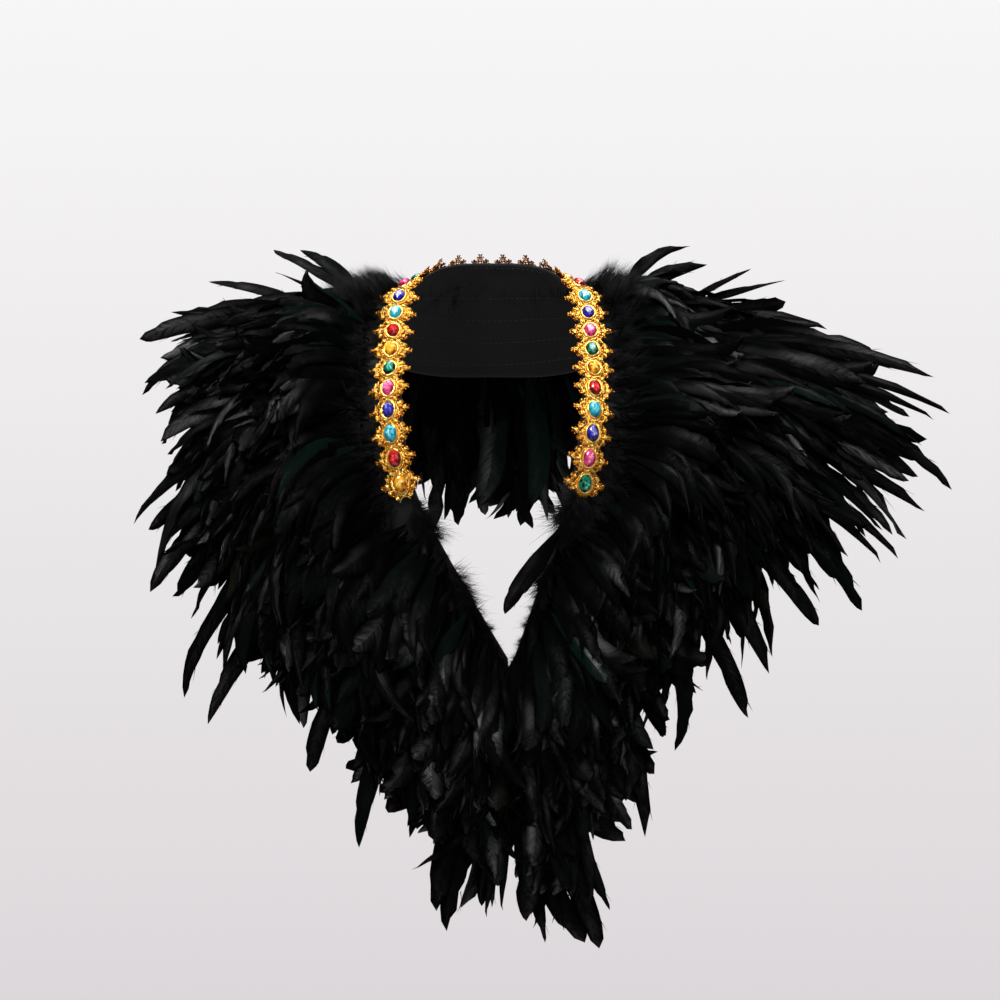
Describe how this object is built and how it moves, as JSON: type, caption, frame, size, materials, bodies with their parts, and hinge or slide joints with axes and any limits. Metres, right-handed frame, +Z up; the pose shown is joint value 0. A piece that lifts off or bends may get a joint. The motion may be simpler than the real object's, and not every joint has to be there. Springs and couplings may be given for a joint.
{
  "type": "feather shawl",
  "caption": "Shoulder shawl of layered black cock feathers on a shaped cloth yoke, worn round the neck with fronts that slant to a V, edged with gold braid set with faceted oval stones.",
  "frame": {"origin": "middle of the neck opening, level with the place where the yoke lies against the sides of the neck", "axes": "+Z up the wearer's neck, -Y to the wearer's front, +X to the wearer's left"},
  "size_m": [0.826, 0.4112, 0.7219],
  "materials": {
    "yoke_cloth": "matt black woven cloth",
    "feather_black": "glossy black cock feather with a green sheen",
    "gold_braid": "metallised gold cord",
    "hook_metal": "black lacquered wire",
    "stone_amber": "faceted, foil backed",
    "stone_red": "faceted, foil backed",
    "stone_turquoise": "faceted, foil backed",
    "stone_blue": "faceted, foil backed",
    "stone_pink": "faceted, foil backed",
    "stone_green": "faceted, foil backed"
  },
  "bodies": {
    "root": {"yoke": "yoke_cloth", "gold_braid": "gold_braid", "stone_01_green": "stone_green", "stone_02_pink": "stone_pink", "stone_03_blue": "stone_blue", "stone_04_turquoise": "stone_turquoise", "stone_05_red": "stone_red", "stone_06_amber": "stone_amber", "stone_07_green": "stone_green", "stone_08_pink": "stone_pink", "stone_09_blue": "stone_blue", "stone_10_turquoise": "stone_turquoise", "stone_11_red": "stone_red", "stone_12_amber": "stone_amber", "stone_13_green": "stone_green", "stone_14_pink": "stone_pink", "stone_15_blue": "stone_blue", "stone_16_turquoise": "stone_turquoise", "stone_17_red": "stone_red", "stone_18_amber": "stone_amber", "stone_19_green": "stone_green", "stone_20_pink": "stone_pink", "stone_21_blue": "stone_blue", "stone_22_turquoise": "stone_turquoise", "stone_23_red": "stone_red", "stone_24_amber": "stone_amber", "stone_25_green": "stone_green", "stone_26_pink": "stone_pink", "stone_27_blue": "stone_blue", "stone_28_turquoise": "stone_turquoise", "stone_29_red": "stone_red", "stone_30_amber": "stone_amber", "feather_row_1": "feather_black", "feather_row_2": "feather_black", "feather_row_3": "feather_black", "feather_row_4": "feather_black", "front_hook": "hook_metal"}
  },
  "joints": []
}
